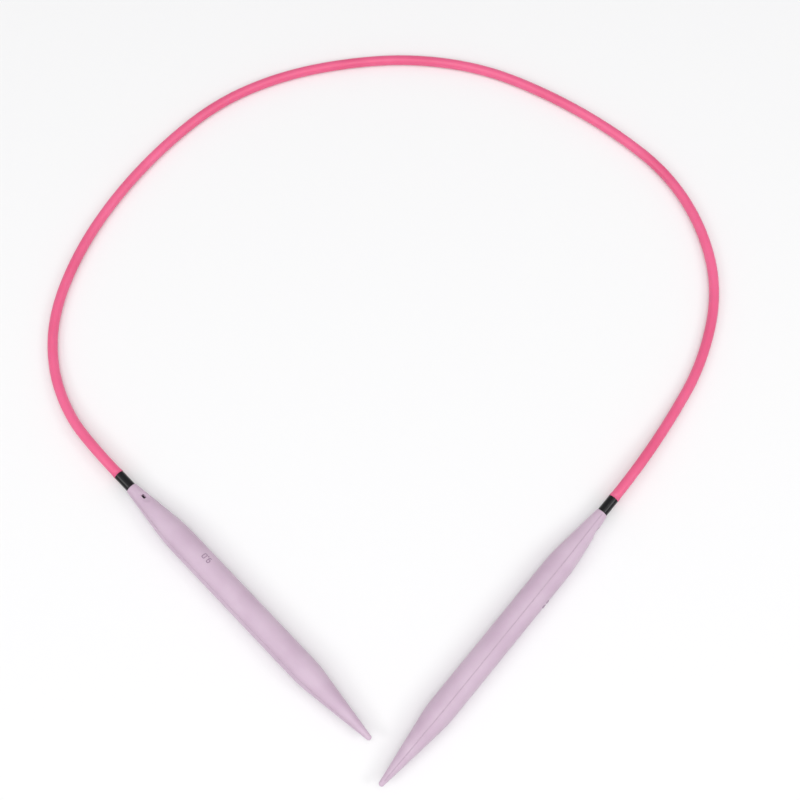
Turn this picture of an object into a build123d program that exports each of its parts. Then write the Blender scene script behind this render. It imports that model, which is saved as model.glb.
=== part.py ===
from build123d import *
import math
import os

# A circular knitting needle laid on a table: two moulded tips of one size, joined by a hollow
# flexible cable. At each join a moulded swivel plug is barbed into the cable, a thin ferrule
# clamps the cable on the barbs, and the plug's stem snaps into a socket in the tip, where the
# tip can turn on it.
#
# Lengths are millimetres and angles are degrees. The table is z = 0, the points of the two tips
# aim down -Y, and the origin lies on the table at the middle of the two tips' outline.
# Each join and its tip is drawn along its own axis: x = 0 where the cable leaves the ferrule,
# +X towards the tip's point, and the tip's window opens to +Z before the tip is rolled.

# Cable
cable_d = 3.4
cable_bore_d = 1.8

# Needle tip: its rear stands a little proud of the ferrule
shaft_d = 9.0
rear_proud = 0.2
rear_taper_length = 21.0
shaft_length = 63.0
point_length = 28.0
nose_radius = 0.9
rear_shoulder_radius = 60.0
point_shoulder_radius = 35.0
rear_edge_radius = 0.2

# Window over the snap bead, in the middle of a shallow dish
window_length = 1.6
window_width = 1.1
window_from_rear = 5.5
dish_depth = 0.4
dish_radius = 6.0

# Swivel plug
stem_d = 2.3
stem_length = 9.8
stem_lead_in = 0.5
stem_lead_in_depth = 0.25
bead_height = 0.2
bead_width = 1.0
collar_length = 1.2
tail_core_d = 1.7
tail_reach = 4.0
barb_height = 0.2
barb_count = 4
barb_ramp_share = 0.8

# Ferrule: it stands a little proud of the cable that it clamps
ferrule_proud = 0.05
ferrule_wall = 0.25
ferrule_length = 6.0
ferrule_edge_radius = 0.08

# How far the squeezed neck of the cable reaches back into the tube, so that the two are one piece
neck_overlap = 0.5

# Clearances: turning on the plug, seating of the soft cable, and the socket's floor
running_gap = 0.05
bead_side_gap = 0.1
swivel_gap = 0.15
seat_gap = 0.02
socket_floor_gap = 0.3
socket_mouth = 0.2

# How far each tip's window is rolled from the top
left_roll = -22.0
right_roll = -87.0

# The cable's route on the table, from the left join to the right one. It leaves each join at the
# height of the tip's axis, falls to the table and lies on it in one wide, slightly uneven loop.
axis_z = shaft_d / 2
floor_z = cable_d / 2
fall_z = (axis_z + 2 * floor_z) / 3
ROUTE = [
    (-80, 48, axis_z),
    (-88, 56.3, axis_z),
    (-98, 69, fall_z),
    (-104.5, 86, floor_z),
    (-105, 105, floor_z),
    (-98, 127, floor_z),
    (-86, 148, floor_z),
    (-70, 167.5, floor_z),
    (-52, 183.5, floor_z),
    (-31, 193.5, floor_z),
    (-8, 198.8, floor_z),
    (16, 200.5, floor_z),
    (41, 196.5, floor_z),
    (64, 186, floor_z),
    (85, 172.5, floor_z),
    (103.5, 156, floor_z),
    (114.5, 135, floor_z),
    (118, 112, floor_z),
    (111.5, 87, floor_z),
    (99.5, 66.5, fall_z),
    (87, 48.5, axis_z),
    (80, 40, axis_z),
]
ARC_SHARE = 0.45

# The run on the crown of the loop where the cable is modelled as bending: its solid is in two
# halves that meet face to face in the middle of that run, though the real cable is one piece
CROWN_RUN = 10

# Sizes that follow from the ones above
ferrule_d = cable_d + 2 * ferrule_proud
rear_d = ferrule_d + 2 * rear_proud
shaft_r = shaft_d / 2
rear_r = rear_d / 2
stem_r = stem_d / 2
bead_r = stem_r + bead_height
ferrule_bore_r = ferrule_d / 2 - ferrule_wall
tip_length = rear_taper_length + shaft_length + point_length
tip_rear_x = ferrule_length + swivel_gap
collar_x = ferrule_length - collar_length
neck_length = collar_x - seat_gap


def heading(end, behind):
    """The direction across the table, in degrees, of the run from behind to end."""
    return math.degrees(math.atan2(end[1] - behind[1], end[0] - behind[0]))


# The tips' axes carry on from the first and last runs of the route
left_heading = heading(ROUTE[0], ROUTE[1])
right_heading = heading(ROUTE[-1], ROUTE[-2])


def turned(outline):
    """A solid turned about the X axis from (x, radius) points that start and end on the axis."""
    return revolve(make_face(Polyline(*outline, close=True)), Axis.X)


def ring(outer_r, inner_r, start_x, end_x):
    """A straight tube along X."""
    start = Plane.YZ.offset(start_x)
    return extrude(start * (Circle(outer_r) - Circle(inner_r)), end_x - start_x)


def point_outline():
    """Where the point's cone meets its rounded nose, and the crown of the nose."""
    centre_x = tip_length - nose_radius
    run = point_length - nose_radius
    slope = math.atan2(shaft_r, run) - math.asin(nose_radius / math.hypot(run, shaft_r))

    def on_nose(angle):
        return (centre_x + nose_radius * math.sin(angle), nose_radius * math.cos(angle))

    return on_nose(slope), on_nose((slope + math.pi / 2) / 2)


def tip_blank():
    """The tip without its socket: rear taper, parallel shaft and point, with soft shoulders."""
    shaft_start = (rear_taper_length, shaft_r)
    shaft_end = (rear_taper_length + shaft_length, shaft_r)
    cone_end, nose_crown = point_outline()
    flanks = Polyline((0, 0), (0, rear_r), shaft_start, shaft_end, cone_end)
    nose = ThreePointArc(cone_end, nose_crown, (tip_length, 0))
    face = make_face([flanks, nose, Line((tip_length, 0), (0, 0))])

    def corner(x, y):
        return face.vertices().sort_by_distance((x, y, 0))[0]

    face = fillet(corner(*shaft_start), rear_shoulder_radius)
    face = fillet(corner(*shaft_end), point_shoulder_radius)
    face = fillet(corner(0, rear_r), rear_edge_radius)
    return revolve(face, Axis.X)


def socket():
    """The bore that the plug's stem turns in, with the groove that its bead snaps into."""
    bore_r = stem_r + running_gap
    groove_r = bead_r + running_gap
    depth = stem_length + socket_floor_gap
    groove_half = bead_width / 2 + bead_side_gap
    ramp = groove_r - bore_r
    return turned([
        (0, 0),
        (0, bore_r + socket_mouth),
        (socket_mouth, bore_r),
        (window_from_rear - groove_half - ramp, bore_r),
        (window_from_rear - groove_half, groove_r),
        (window_from_rear + groove_half, groove_r),
        (window_from_rear + groove_half + ramp, bore_r),
        (depth, bore_r),
        (depth, 0),
    ])


def dish():
    """The shallow hollow round the window: a cylinder laid across the taper."""
    slope = (shaft_r - rear_r) / rear_taper_length
    surface_r = rear_r + slope * window_from_rear
    axis_height = surface_r - dish_depth + dish_radius
    across = Plane((window_from_rear, -shaft_d / 2, axis_height), x_dir=(1, 0, 0), z_dir=(0, 1, 0))
    return extrude(across * Circle(dish_radius), shaft_d)


def window():
    """The oblong hole from the socket out through the dish, longer along the tip than across it."""
    hole = Box(window_length, window_width, shaft_r, align=(Align.CENTER, Align.CENTER, Align.MIN))
    return Pos(window_from_rear, 0, 0) * hole


def needle_tip(roll):
    """One finished tip, placed after the ferrule and rolled about its own axis."""
    tip = tip_blank() - socket() - dish() - window()
    return Pos(tip_rear_x, 0, 0) * Rot(roll, 0, 0) * tip


def tail_outline(gap):
    """(x, radius) points along the barbed tail, all of them gap further out than the tail."""
    core_r = tail_core_d / 2 + gap
    barb_r = core_r + barb_height
    pitch = (collar_x + tail_reach) / (barb_count + 1)
    points = []
    for i in range(barb_count):
        ramp_start = -tail_reach + i * pitch - gap
        ramp_end = -tail_reach + (i + barb_ramp_share) * pitch + gap
        points += [(ramp_start, core_r), (ramp_end, barb_r), (ramp_end, core_r)]
    return points


def swivel_plug():
    """Barbed tail, collar inside the ferrule, and the stem with its snap bead."""
    collar_r = ferrule_bore_r
    bead_x = tip_rear_x + window_from_rear
    stem_end = tip_rear_x + stem_length
    flat_half = bead_width / 2 - bead_height
    return turned([
        (-tail_reach, 0),
        *tail_outline(0),
        (collar_x, tail_core_d / 2),
        (collar_x, collar_r),
        (ferrule_length, collar_r),
        (ferrule_length, stem_r),
        (bead_x - bead_width / 2, stem_r),
        (bead_x - flat_half, bead_r),
        (bead_x + flat_half, bead_r),
        (bead_x + bead_width / 2, stem_r),
        (stem_end - stem_lead_in, stem_r),
        (stem_end, stem_r - stem_lead_in_depth),
        (stem_end, 0),
    ])


def ferrule():
    """The thin sleeve that clamps the cable on the barbs and holds the plug's collar."""
    sleeve = ring(ferrule_d / 2, ferrule_bore_r, seat_gap, ferrule_length)
    return fillet(sleeve.edges().filter_by(GeomType.CIRCLE), ferrule_edge_radius)


def cable_neck():
    """The end of the cable where the ferrule squeezes it, reaching back a little into the tube."""
    return ring(ferrule_bore_r - seat_gap, cable_bore_d / 2, -neck_overlap, neck_length)


def tail_cavity():
    """The room that the barbed tail takes up inside the soft cable."""
    cavity = [(-tail_reach - seat_gap, 0), *tail_outline(seat_gap)]
    cavity += [(collar_x, tail_core_d / 2 + seat_gap), (collar_x, 0)]
    return turned(cavity)


def route_radii():
    """The largest arc at each corner of the route that its two runs leave room for."""
    radii = []
    for before, here, after in zip(ROUTE, ROUTE[1:], ROUTE[2:]):
        run_in = Vector(here) - Vector(before)
        run_out = Vector(after) - Vector(here)
        half_turn = math.radians(run_in.get_angle(run_out) / 2)
        radii.append(ARC_SHARE * min(run_in.length, run_out.length) / math.tan(half_turn))
    return radii


def crown():
    """The plane square to the cable in the middle of the crown's run, facing the right join."""
    start = Vector(ROUTE[CROWN_RUN])
    end = Vector(ROUTE[CROWN_RUN + 1])
    return Plane((start + end) / 2, z_dir=end - start)


def cable(ends):
    """The hollow cable along its route, with a squeezed neck and a tail cavity at each end."""
    path = FilletPolyline(*ROUTE, radius=route_radii())
    start = Plane(ROUTE[0], z_dir=Vector(ROUTE[1]) - Vector(ROUTE[0]))
    tube = sweep(start * (Circle(cable_d / 2) - Circle(cable_bore_d / 2)), path)
    section = math.pi * (cable_d ** 2 - cable_bore_d ** 2) / 4
    print(f"cable: path {path.length:.1f} mm, volume {tube.volume:.0f} mm3, "
          f"section x length {section * path.length:.0f} mm3")
    for end in ends:
        tube = tube + end * cable_neck()
    for end in ends:
        tube = tube - end * tail_cavity()
    return tube


def build():
    """Every node by name, in its place."""
    left = Pos(*ROUTE[0]) * Rot(0, 0, left_heading)
    right = Pos(*ROUTE[-1]) * Rot(0, 0, right_heading)
    whole = cable([left, right])
    nodes = {
        "cable_left": split(whole, bisect_by=crown(), keep=Keep.BOTTOM),
        "cable_right": split(whole, bisect_by=crown(), keep=Keep.TOP),
    }
    for side, end, roll in (("left", left, left_roll), ("right", right, right_roll)):
        nodes[f"ferrule_{side}"] = end * ferrule()
        nodes[f"swivel_plug_{side}"] = end * swivel_plug()
        nodes[f"needle_tip_{side}"] = end * needle_tip(roll)
    return nodes


if __name__ == "__main__":
    print("route radii:", ", ".join(f"{r:.0f}" for r in route_radii()))
    os.makedirs("parts", exist_ok=True)
    for name, solid in build().items():
        export_step(solid, f"parts/{name}.step")
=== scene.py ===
import math

import bmesh
import bpy
from mathutils import Matrix, Vector


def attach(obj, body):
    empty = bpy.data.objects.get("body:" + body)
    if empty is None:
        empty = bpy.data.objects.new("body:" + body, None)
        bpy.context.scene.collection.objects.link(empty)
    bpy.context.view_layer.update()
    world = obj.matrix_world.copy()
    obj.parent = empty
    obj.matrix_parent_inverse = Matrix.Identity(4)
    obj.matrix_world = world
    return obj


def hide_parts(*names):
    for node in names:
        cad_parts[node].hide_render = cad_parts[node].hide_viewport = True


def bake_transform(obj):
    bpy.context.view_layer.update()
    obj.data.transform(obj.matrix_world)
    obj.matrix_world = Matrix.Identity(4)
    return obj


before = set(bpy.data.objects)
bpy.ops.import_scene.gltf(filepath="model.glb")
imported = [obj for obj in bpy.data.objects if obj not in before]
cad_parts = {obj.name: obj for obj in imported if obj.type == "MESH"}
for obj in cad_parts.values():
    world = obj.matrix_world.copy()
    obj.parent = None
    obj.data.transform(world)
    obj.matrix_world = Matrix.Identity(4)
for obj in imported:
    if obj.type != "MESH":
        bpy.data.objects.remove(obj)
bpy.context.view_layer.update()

MM = 0.001

# Radii in millimetres
SHAFT_R = 4.5
CABLE_R = 1.7
CABLE_BORE_R = 0.9
NECK_R = 1.48

# Heights of the cable's middle: at the joins, on the table, and on its way down
AXIS_Z = SHAFT_R
FLOOR_Z = CABLE_R
FALL_Z = (AXIS_Z + 2 * FLOOR_Z) / 3

# The cable's route in millimetres, from the left join to the right one
ROUTE = [
    (-80, 48, AXIS_Z),
    (-88, 56.3, AXIS_Z),
    (-98, 69, FALL_Z),
    (-104.5, 86, FLOOR_Z),
    (-105, 105, FLOOR_Z),
    (-98, 127, FLOOR_Z),
    (-86, 148, FLOOR_Z),
    (-70, 167.5, FLOOR_Z),
    (-52, 183.5, FLOOR_Z),
    (-31, 193.5, FLOOR_Z),
    (-8, 198.8, FLOOR_Z),
    (16, 200.5, FLOOR_Z),
    (41, 196.5, FLOOR_Z),
    (64, 186, FLOOR_Z),
    (85, 172.5, FLOOR_Z),
    (103.5, 156, FLOOR_Z),
    (114.5, 135, FLOOR_Z),
    (118, 112, FLOOR_Z),
    (111.5, 87, FLOOR_Z),
    (99.5, 66.5, FALL_Z),
    (87, 48.5, AXIS_Z),
    (80, 40, AXIS_Z),
]
NECK_LENGTH = 4.78
FLARE = 0.12
FLARE_LENGTH = 3.0
CABLE_SIDES = 40

# Needle tip, measured from its rear face along its own axis
REAR_R = 1.95
TAPER_LENGTH = 21.0
SHAFT_END_X = 84.0
TIP_LENGTH = 112.0
NOSE_R = 0.9
REAR_SHOULDER_R = 60.0
POINT_SHOULDER_R = 35.0
TIP_REAR_X = 6.15
LEFT_ROLL = -22.0
RIGHT_ROLL = -87.0

# Moulded size number: its middle along the shaft, its height and how far it stands proud
NUMBER = "9.0"
NUMBER_X = 35.0
NUMBER_HEIGHT = 1.8
NUMBER_STROKE = 0.32
NUMBER_PROUD = 0.12

# The low ridges that the two halves of the mould leave: one this many degrees round from the
# window, the other opposite it
MOULD_LINE_TURN = 75.0
MOULD_LINE_HALF_WIDTH = 0.16
MOULD_LINE_PROUD = 0.09
MOULD_LINE_DEPTH = 0.1
MOULD_LINE_START = 1.0
MOULD_LINE_END = 110.0
MOULD_LINE_STEPS = 90
MOULD_LINE_SHARE = 0.25  # of the tip's radius, the widest that half a line may be near the point

# Base colours
LILAC = (0.59, 0.444, 0.56)
PINK = (0.79, 0.115, 0.255)
BLACK = (0.006, 0.006, 0.007)
TABLE_WHITE = (0.88, 0.88, 0.885)

# Stage, in metres: lights as place, size and power
FLOOR_HALF = 3.0
LOOP_MIDDLE = (0, 0.07, 0)
WORLD_STRENGTH = 0.5
LIGHTS = {
    "key": ((0.02, -0.36, 1.45), (1.4, 1.4), 12.8),
    "left_box": ((-0.90, -0.39, 0.89), (0.4, 0.4), 2.6),
    "right_box": ((0.94, -0.29, 0.90), (0.4, 0.4), 2.6),
}

# The camera looks down 72 degrees on the table from 0.6 m away
CAMERA_PLACE = (0.0111, -0.1105, 0.5706)
CAMERA_AIM = (0.0111, 0.0749, 0)
CAMERA_LENS = 81.57
CAMERA_SENSOR = 36


def side_matrix(side):
    """The join's own frame: x = 0 where the cable leaves the ferrule, +X towards the point."""
    end, behind = (ROUTE[0], ROUTE[1]) if side == "left" else (ROUTE[-1], ROUTE[-2])
    heading = math.atan2(end[1] - behind[1], end[0] - behind[0])
    return Matrix.Translation(Vector(end) * MM) @ Matrix.Rotation(heading, 4, "Z")


def tip_matrix(side):
    """The tip's frame: x = 0 at its rear face, the window opening to +Z."""
    roll = math.radians(LEFT_ROLL if side == "left" else RIGHT_ROLL)
    return side_matrix(side) @ Matrix.Translation((TIP_REAR_X * MM, 0, 0)) @ Matrix.Rotation(roll, 4, "X")


# ---------------------------------------------------------------- materials


def new_material(name, colour, roughness):
    """A material of one colour and roughness, and its shader."""
    material = bpy.data.materials.new(name)
    material.use_nodes = True
    shader = material.node_tree.nodes["Principled BSDF"]
    shader.inputs["Base Color"].default_value = (*colour, 1)
    shader.inputs["Roughness"].default_value = roughness
    return material, shader


def noise(tree, scale, detail=3.0):
    """Noise in the object's own coordinates, in metres."""
    place = tree.nodes.new("ShaderNodeTexCoord")
    texture = tree.nodes.new("ShaderNodeTexNoise")
    texture.inputs["Scale"].default_value = scale
    texture.inputs["Detail"].default_value = detail
    tree.links.new(place.outputs["Object"], texture.inputs["Vector"])
    return texture.outputs["Fac"]


def ramp(tree, factor, low, high, start=0.35, end=0.65):
    """A colour ramp from low to high over part of a factor."""
    node = tree.nodes.new("ShaderNodeValToRGB")
    node.color_ramp.elements[0].position = start
    node.color_ramp.elements[1].position = end
    node.color_ramp.elements[0].color = (*low, 1)
    node.color_ramp.elements[1].color = (*high, 1)
    tree.links.new(factor, node.inputs["Fac"])
    return node.outputs["Color"]


def bump(tree, shader, height, distance, strength):
    """A bump of that many metres, in the shader's normal."""
    node = tree.nodes.new("ShaderNodeBump")
    node.inputs["Distance"].default_value = distance
    node.inputs["Strength"].default_value = strength
    tree.links.new(height, node.inputs["Height"])
    tree.links.new(node.outputs["Normal"], shader.inputs["Normal"])


def grey(value):
    return (value, value, value)


def tip_plastic():
    """Pastel moulded plastic: faint clouding in the colour, a satin skin and a trace of flow."""
    material, shader = new_material("tip_plastic", LILAC, 0.5)
    tree = material.node_tree
    tree.links.new(
        ramp(tree, noise(tree, 90), (0.565, 0.418, 0.535), (0.615, 0.47, 0.585)),
        shader.inputs["Base Color"],
    )
    tree.links.new(ramp(tree, noise(tree, 500), grey(0.46), grey(0.56)), shader.inputs["Roughness"])
    bump(tree, shader, noise(tree, 900, detail=2), distance=0.00003, strength=0.25)
    shader.inputs["Subsurface Weight"].default_value = 0.12
    shader.inputs["Subsurface Radius"].default_value = (0.002, 0.0014, 0.002)
    shader.inputs["Subsurface Scale"].default_value = 1.0
    return material


def shade_painted_plastic(name, low, high):
    """The tip's plastic, darker with painted shade for the shade along a raised mark's sides, and duller.
    """
    material, shader = new_material(name, low, 0.6)
    tree = material.node_tree
    tree.links.new(ramp(tree, noise(tree, 1400), low, high), shader.inputs["Base Color"])
    return material


def cable_vinyl():
    """Soft extruded vinyl: slightly uneven colour and a satin skin."""
    material, shader = new_material("cable_vinyl", PINK, 0.4)
    tree = material.node_tree
    tree.links.new(
        ramp(tree, noise(tree, 45), (0.75, 0.098, 0.228), (0.82, 0.13, 0.28)),
        shader.inputs["Base Color"],
    )
    tree.links.new(ramp(tree, noise(tree, 700), grey(0.34), grey(0.46)), shader.inputs["Roughness"])
    bump(tree, shader, noise(tree, 1100, detail=2), distance=0.00002, strength=0.2)
    shader.inputs["Subsurface Weight"].default_value = 0.2
    shader.inputs["Subsurface Radius"].default_value = (0.003, 0.0008, 0.0012)
    shader.inputs["Subsurface Scale"].default_value = 1.0
    return material


def ferrule_sleeve():
    """Glossy black sleeve with fine handling marks."""
    material, shader = new_material("ferrule_sleeve", BLACK, 0.17)
    tree = material.node_tree
    tree.links.new(ramp(tree, noise(tree, 1500), grey(0.13), grey(0.22)), shader.inputs["Roughness"])
    bump(tree, shader, noise(tree, 1300, detail=2), distance=0.00002, strength=0.2)
    shader.inputs["Specular IOR Level"].default_value = 0.3
    return material


def plug_plastic():
    """Dull black moulded plastic, nearly all of it hidden inside the join."""
    material, shader = new_material("plug_plastic", BLACK, 0.6)
    tree = material.node_tree
    tree.links.new(ramp(tree, noise(tree, 1200), grey(0.55), grey(0.68)), shader.inputs["Roughness"])
    bump(tree, shader, noise(tree, 1600, detail=2), distance=0.00002, strength=0.2)
    return material


def table_surface():
    return new_material("table_surface", TABLE_WHITE, 0.75)[0]


# ---------------------------------------------------------------- pieces


def mesh_piece(name, make, material):
    """A new object whose mesh make(bm) fills in."""
    mesh = bpy.data.meshes.new(name)
    bm = bmesh.new()
    make(bm)
    bmesh.ops.recalc_face_normals(bm, faces=bm.faces)
    bm.to_mesh(mesh)
    bm.free()
    mesh.materials.append(material)
    piece = bpy.data.objects.new(name, mesh)
    bpy.context.scene.collection.objects.link(piece)
    return piece


def smooth(mesh):
    for face in mesh.polygons:
        face.use_smooth = True


def add_nurbs(curve, places):
    """A NURBS spline with places, in millimetres, as its controls, from the first of them to the last."""
    spline = curve.splines.new("NURBS")
    spline.points.add(len(places) - 1)
    for point, place in zip(spline.points, places):
        point.co = (*(Vector(place) * MM), 1)
    spline.order_u = 3
    spline.use_endpoint_u = True


def curve_to_mesh(curve):
    """The curve's mesh; the curve itself is removed."""
    holder = bpy.data.objects.new(curve.name, curve)
    mesh = bpy.data.meshes.new_from_object(holder)
    bpy.data.objects.remove(holder)
    bpy.data.curves.remove(curve)
    return mesh


def route_line():
    """The smooth line of the cable, as points."""
    curve = bpy.data.curves.new("route", "CURVE")
    curve.dimensions = "3D"
    curve.resolution_u = 12
    add_nurbs(curve, ROUTE)
    mesh = curve_to_mesh(curve)
    points = [vertex.co.copy() for vertex in mesh.vertices]
    bpy.data.meshes.remove(mesh)
    return points


def add_ring(bm, centre, along, radius):
    """A ring of vertices square to a direction that lies nearly flat."""
    side = Vector((0, 0, 1)).cross(along).normalized()
    up = along.cross(side)
    turns = [2 * math.pi * i / CABLE_SIDES for i in range(CABLE_SIDES)]
    return [bm.verts.new(centre + (side * math.cos(a) + up * math.sin(a)) * radius) for a in turns]


def join_rings(bm, rings):
    """Faces between each ring and the next."""
    for a, b in zip(rings, rings[1:]):
        for i in range(len(a)):
            j = (i + 1) % len(a)
            bm.faces.new((a[i], a[j], b[j], b[i]))


def join_and_cap(bm, rings):
    join_rings(bm, rings)
    bm.faces.new(rings[0])
    bm.faces.new(rings[-1])


def flared_radius(distance):
    """The cable's radius that far from the ferrule's edge: it swells a little where it is squeezed."""
    share = max(0.0, 1 - distance / (FLARE_LENGTH * MM))
    return (CABLE_R + FLARE * share ** 2) * MM


def cable_piece(points, material):
    """The cable: a tube along its line, a little wider where each ferrule squeezes it."""
    travelled = [0.0]
    for a, b in zip(points, points[1:]):
        travelled.append(travelled[-1] + (b - a).length)
    length = travelled[-1]

    def make(bm):
        rings = []
        for i, point in enumerate(points):
            ahead = points[min(i + 1, len(points) - 1)]
            behind = points[max(i - 1, 0)]
            distance = min(travelled[i], length - travelled[i])
            rings.append(add_ring(bm, point, (ahead - behind).normalized(), flared_radius(distance)))
        join_and_cap(bm, rings)

    piece = mesh_piece("cable_tube", make, material)
    smooth(piece.data)
    return piece


def neck_piece(side, material):
    """The squeezed end of the cable, inside its ferrule."""
    def make(bm):
        along = Vector((1, 0, 0))
        corners = [(0, CABLE_BORE_R), (0, NECK_R), (NECK_LENGTH, NECK_R), (NECK_LENGTH, CABLE_BORE_R)]
        rings = [add_ring(bm, along * x * MM, along, radius * MM) for x, radius in corners]
        join_rings(bm, rings + rings[:1])

    piece = mesh_piece(f"cable_neck_{side}", make, material)
    piece.data.transform(side_matrix(side))
    return piece


# Each figure is a list of strokes, in units of the figure's height, from its lower left corner
FIGURES = {
    "9": [[(0.5, 0.62), (0.4, 0.4), (0.05, 0.4), (0.0, 0.72), (0.05, 1.04), (0.48, 1.04),
           (0.52, 0.7), (0.52, 0.3), (0.4, 0.0), (0.1, 0.02)]],
    "0": [[(0.26, 0.0), (0.0, 0.0), (0.0, 0.5), (0.0, 1.0), (0.26, 1.0), (0.52, 1.0),
           (0.52, 0.5), (0.52, 0.0), (0.26, 0.0)]],
    ".": [[(0.06, 0.0), (0.16, 0.0), (0.16, 0.1), (0.06, 0.1), (0.06, 0.0)]],
}
# From the start of each figure to the start of the next, in the same units
ADVANCE = {"9": 0.72, "0": 0.72, ".": 0.44}


def number_strokes():
    """The size number's strokes as lists of (x along the shaft, y round it), in millimetres.

    It reads from the point towards the join."""
    width = sum(ADVANCE[figure] for figure in NUMBER) * NUMBER_HEIGHT
    strokes = []
    x = NUMBER_X + width / 2
    for figure in NUMBER:
        for stroke in FIGURES[figure]:
            strokes.append([(x - u * NUMBER_HEIGHT, (0.5 - v) * NUMBER_HEIGHT) for u, v in stroke])
        x -= ADVANCE[figure] * NUMBER_HEIGHT
    return strokes


def number_piece(side, material):
    """The raised size number, wrapped round the shaft on the window's side."""
    curve = bpy.data.curves.new(f"size_number_{side}", "CURVE")
    curve.dimensions = "3D"
    curve.bevel_depth = NUMBER_STROKE / 2 * MM
    curve.bevel_resolution = 3
    curve.use_fill_caps = True
    radius = SHAFT_R + NUMBER_PROUD - NUMBER_STROKE / 2
    for stroke in number_strokes():
        turns = [(x, y / SHAFT_R) for x, y in stroke]
        add_nurbs(curve, [(x, radius * math.sin(turn), radius * math.cos(turn)) for x, turn in turns])
    mesh = curve_to_mesh(curve)
    mesh.transform(tip_matrix(side))
    mesh.materials.clear()
    mesh.materials.append(material)
    piece = bpy.data.objects.new(f"size_number_{side}", mesh)
    bpy.context.scene.collection.objects.link(piece)
    smooth(mesh)
    return piece


def tip_radius(x):
    """The tip's radius that far from its rear face: taper, shoulder, shaft, shoulder, cone."""
    taper = math.atan2(SHAFT_R - REAR_R, TAPER_LENGTH)
    run = TIP_LENGTH - NOSE_R - SHAFT_END_X
    cone = math.atan2(SHAFT_R, run) - math.asin(NOSE_R / math.hypot(run, SHAFT_R))
    shoulder_x = TAPER_LENGTH + REAR_SHOULDER_R * math.tan(taper / 2)
    point_x = SHAFT_END_X - POINT_SHOULDER_R * math.tan(cone / 2)
    if x < shoulder_x - REAR_SHOULDER_R * math.sin(taper):
        return REAR_R + x * math.tan(taper)
    if x < shoulder_x:
        return SHAFT_R - REAR_SHOULDER_R + math.sqrt(REAR_SHOULDER_R ** 2 - (shoulder_x - x) ** 2)
    if x < point_x:
        return SHAFT_R
    if x < point_x + POINT_SHOULDER_R * math.sin(cone):
        return SHAFT_R - POINT_SHOULDER_R + math.sqrt(POINT_SHOULDER_R ** 2 - (x - point_x) ** 2)
    return SHAFT_R - (x - SHAFT_END_X) * math.tan(cone)


def mould_line_section(x):
    """Six corners of the ridge at x: two feet in the plastic, two shoulders and a narrower top."""
    radius = tip_radius(x)
    half = min(MOULD_LINE_HALF_WIDTH, radius * MOULD_LINE_SHARE)
    edge = math.sqrt(radius ** 2 - half ** 2)
    foot = edge - MOULD_LINE_DEPTH
    shoulder = edge + MOULD_LINE_PROUD / 2
    return [(-half, foot), (half, foot), (half, shoulder), (half / 2, radius + MOULD_LINE_PROUD),
            (-half / 2, radius + MOULD_LINE_PROUD), (-half, shoulder)]


def mould_line_piece(side, material):
    """The two mould lines of a tip, opposite each other."""
    span = MOULD_LINE_END - MOULD_LINE_START
    turn = Matrix.Rotation(math.radians(MOULD_LINE_TURN), 4, "X")
    stations = [MOULD_LINE_START + span * i / MOULD_LINE_STEPS for i in range(MOULD_LINE_STEPS + 1)]

    def make(bm):
        for sign in (1, -1):
            rings = []
            for x in stations:
                corners = mould_line_section(x)
                rings.append([bm.verts.new(turn @ Vector((x, w, sign * r)) * MM) for w, r in corners])
            join_and_cap(bm, rings)

    piece = mesh_piece(f"mould_line_{side}", make, material)
    piece.data.transform(tip_matrix(side))
    return piece


def dress_frame(materials):
    """Each CAD node takes its own material."""
    for name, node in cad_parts.items():
        for key, material in materials.items():
            if name.startswith(key):
                node.data.materials.clear()
                node.data.materials.append(material)


# ---------------------------------------------------------------- stage


def floor_piece():
    """The white table."""
    def make(bm):
        half = FLOOR_HALF
        corners = [(-half, -half), (half, -half), (half, half), (-half, half)]
        bm.faces.new([bm.verts.new((x, y, 0)) for x, y in corners])

    floor = mesh_piece("floor", make, table_surface())


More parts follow.
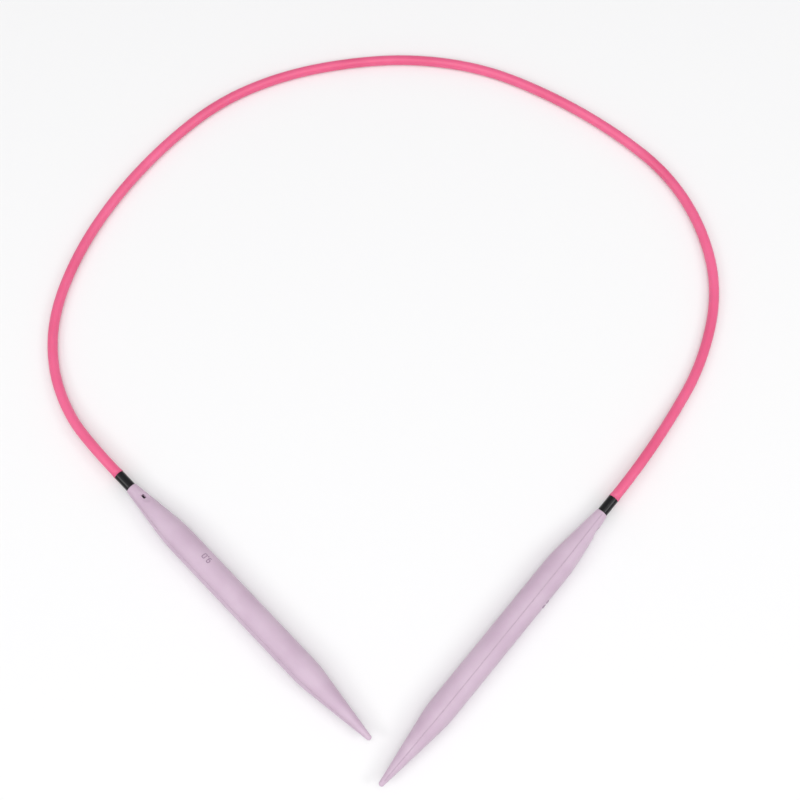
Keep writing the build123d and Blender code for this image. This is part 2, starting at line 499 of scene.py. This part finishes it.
def softbox(name, place, size, power):
    """A rectangular light that faces the middle of the loop."""
    light = bpy.data.lights.new(name, "AREA")
    light.shape = "RECTANGLE"
    light.size, light.size_y = size
    light.energy = power
    lamp = bpy.data.objects.new(name, light)
    lamp.location = place
    aim = Vector(LOOP_MIDDLE) - Vector(place)
    lamp.rotation_euler = aim.to_track_quat("-Z", "Y").to_euler()
    bpy.context.scene.collection.objects.link(lamp)


def true_colours():
    """Shows colours as they are: the default view greys a white floor and fades a strong pink."""
    bpy.context.scene.view_settings.view_transform = "Standard"


def studio_light():
    """An even white world, a large key light and a smaller one from each front corner."""
    world = bpy.data.worlds.new("studio")
    world.use_nodes = True
    world.node_tree.nodes["Background"].inputs["Color"].default_value = (1, 1, 1, 1)
    world.node_tree.nodes["Background"].inputs["Strength"].default_value = WORLD_STRENGTH
    bpy.context.scene.world = world
    for name, (place, size, power) in LIGHTS.items():
        softbox(name, place, size, power)


def camera():
    data = bpy.data.cameras.new("camera")
    data.sensor_width = CAMERA_SENSOR
    data.lens = CAMERA_LENS
    eye = bpy.data.objects.new("camera", data)
    eye.location = CAMERA_PLACE
    aim = Vector(CAMERA_AIM) - eye.location
    eye.rotation_euler = aim.to_track_quat("-Z", "Y").to_euler()
    bpy.context.scene.collection.objects.link(eye)
    bpy.context.scene.camera = eye


def build():
    materials = {
        "needle_tip": tip_plastic(),
        "swivel_plug": plug_plastic(),
        "ferrule": ferrule_sleeve(),
    }
    # number_plastic is darker than the tip's plastic: painted shade for the shade round the raised
    # figures.
    number = shade_painted_plastic("number_plastic", (0.30, 0.195, 0.29), (0.38, 0.26, 0.37))
    # seam_plastic is darker than the tip's plastic: painted shade for the shade on the sides of the mould
    # lines.
    seam = shade_painted_plastic("seam_plastic", (0.49, 0.362, 0.463), (0.54, 0.405, 0.51))
    dress_frame(materials)
    points = route_line()
    vinyl = cable_vinyl()
    cable = cable_piece(points, vinyl)
    necks = {side: neck_piece(side, vinyl) for side in ("left", "right")}
    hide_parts("cable_left", "cable_right")
    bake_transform(cable)
    for side, body in (("left", "left_end"), ("right", "right_end")):
        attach(necks[side], body)
        for make, material in ((number_piece, number), (mould_line_piece, seam)):
            detail = make(side, material)
            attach(detail, f"tip_{side}")
    floor_piece()
    true_colours()
    studio_light()
    camera()


build()
